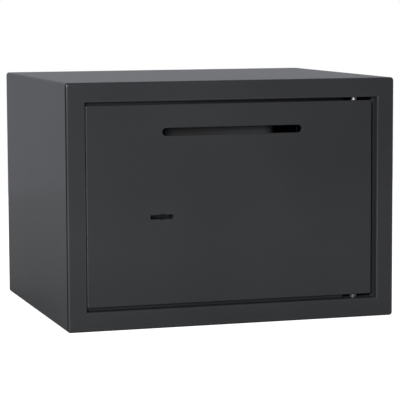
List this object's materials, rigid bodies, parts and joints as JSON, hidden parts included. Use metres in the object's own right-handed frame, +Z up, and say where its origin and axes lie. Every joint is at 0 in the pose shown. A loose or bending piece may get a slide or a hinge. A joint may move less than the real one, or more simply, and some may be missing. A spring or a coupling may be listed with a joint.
{
  "type": "deposit safe",
  "caption": "Small steel deposit safe with a slot in its hinged plate door, a baffle behind the slot, round locking bolts and a lever lock for a double-bit key.",
  "frame": {"origin": "middle of the base, on the surface that the safe stands on", "axes": "+X to the right seen from the front, +Y to the back, +Z up"},
  "size_m": [0.35, 0.29, 0.25],
  "materials": {
    "graphite_paint": "satin graphite powder coat with a fine even texture",
    "zinc_plate": "bright zinc plate",
    "bright_steel": "turned bare steel",
    "dark_steel": "blackened steel",
    "lock_brass": "rolled brass",
    "felt": "dark needle felt"
  },
  "bodies": {
    "cabinet": {"cabinet_shell": "graphite_paint", "back_panel": "graphite_paint", "stop_strip_top": "graphite_paint", "stop_strip_bottom": "graphite_paint", "hinge_plate_top": "zinc_plate", "hinge_plate_bottom": "zinc_plate", "hinge_pin_top": "bright_steel", "hinge_pin_bottom": "bright_steel", "hinge_spacer": "dark_steel", "floor_mat": "felt"},
    "door": {"door_plate": "graphite_paint", "hinge_lug_top": "graphite_paint", "hinge_lug_bottom": "graphite_paint", "baffle_plate": "graphite_paint", "baffle_nut_1": "zinc_plate", "baffle_nut_2": "zinc_plate", "bolt_guide_rail": "graphite_paint", "boltwork_cover": "graphite_paint", "cover_nut_1": "zinc_plate", "cover_nut_2": "zinc_plate", "cover_nut_3": "zinc_plate", "cover_nut_4": "zinc_plate", "lock_case": "zinc_plate", "lock_cover": "zinc_plate", "lever_post": "bright_steel", "lock_nut_1": "zinc_plate", "lock_nut_2": "zinc_plate", "lock_nut_3": "zinc_plate", "lock_nut_4": "zinc_plate", "lock_cover_screw_1": "bright_steel", "lock_cover_screw_2": "bright_steel", "lock_cover_screw_3": "bright_steel", "lock_cover_screw_4": "bright_steel"},
    "bolt_work": {"bolt_bar": "zinc_plate", "bolt_upper": "bright_steel", "bolt_lower": "bright_steel", "bolt_nut_upper": "zinc_plate", "bolt_nut_lower": "zinc_plate", "lock_bolt": "zinc_plate", "lock_bolt_screw": "bright_steel"},
    "drum": {"key_drum": "dark_steel"},
    "rocker_1": {"lever_1": "lock_brass", "lever_spring_1": "bright_steel"},
    "rocker_2": {"lever_2": "lock_brass", "lever_spring_2": "bright_steel"},
    "rocker_3": {"lever_3": "lock_brass", "lever_spring_3": "bright_steel"},
    "rocker_4": {"lever_4": "lock_brass", "lever_spring_4": "bright_steel"},
    "rocker_5": {"lever_5": "lock_brass", "lever_spring_5": "bright_steel"}
  },
  "joints": [
    {"name": "door_hinge", "type": "hinge", "parent": "cabinet", "child": "door", "pos_m": [0.1345, -0.134, 0.125], "axis": [0, 0, 1], "range_deg": [0, 100]},
    {"name": "bolt_throw", "type": "slide", "parent": "door", "child": "bolt_work", "axis": [-1, 0, 0], "range_m": [0, 0.016]},
    {"name": "key_turn", "type": "hinge", "parent": "door", "child": "drum", "pos_m": [-0.0754, -0.128, 0.11315], "axis": [0, -1, 0], "range_deg": [0, 180]},
    {"name": "lever_1_rock", "type": "hinge", "parent": "door", "child": "rocker_1", "pos_m": [-0.0364, -0.13505, 0.11315], "axis": [0, 1, 0], "range_deg": [-3, 1.5], "stiffness_Nm_per_rad": 0.05, "springref_deg": -22.92},
    {"name": "lever_2_rock", "type": "hinge", "parent": "door", "child": "rocker_2", "pos_m": [-0.0364, -0.13315, 0.11315], "axis": [0, 1, 0], "range_deg": [-3, 1.5], "stiffness_Nm_per_rad": 0.05, "springref_deg": -22.92},
    {"name": "lever_3_rock", "type": "hinge", "parent": "door", "child": "rocker_3", "pos_m": [-0.0364, -0.13125, 0.11315], "axis": [0, 1, 0], "range_deg": [-3, 1.5], "stiffness_Nm_per_rad": 0.05, "springref_deg": -22.92},
    {"name": "lever_4_rock", "type": "hinge", "parent": "door", "child": "rocker_4", "pos_m": [-0.0364, -0.12935, 0.11315], "axis": [0, 1, 0], "range_deg": [-3, 1.5], "stiffness_Nm_per_rad": 0.05, "springref_deg": -22.92},
    {"name": "lever_5_rock", "type": "hinge", "parent": "door", "child": "rocker_5", "pos_m": [-0.0364, -0.12745, 0.11315], "axis": [0, 1, 0], "range_deg": [-3, 1.5], "stiffness_Nm_per_rad": 0.05, "springref_deg": -22.92}
  ],
  "couplings": [
    {"joint": "key_turn", "follows": "bolt_throw", "rad_per_m": 196.35}
  ]
}
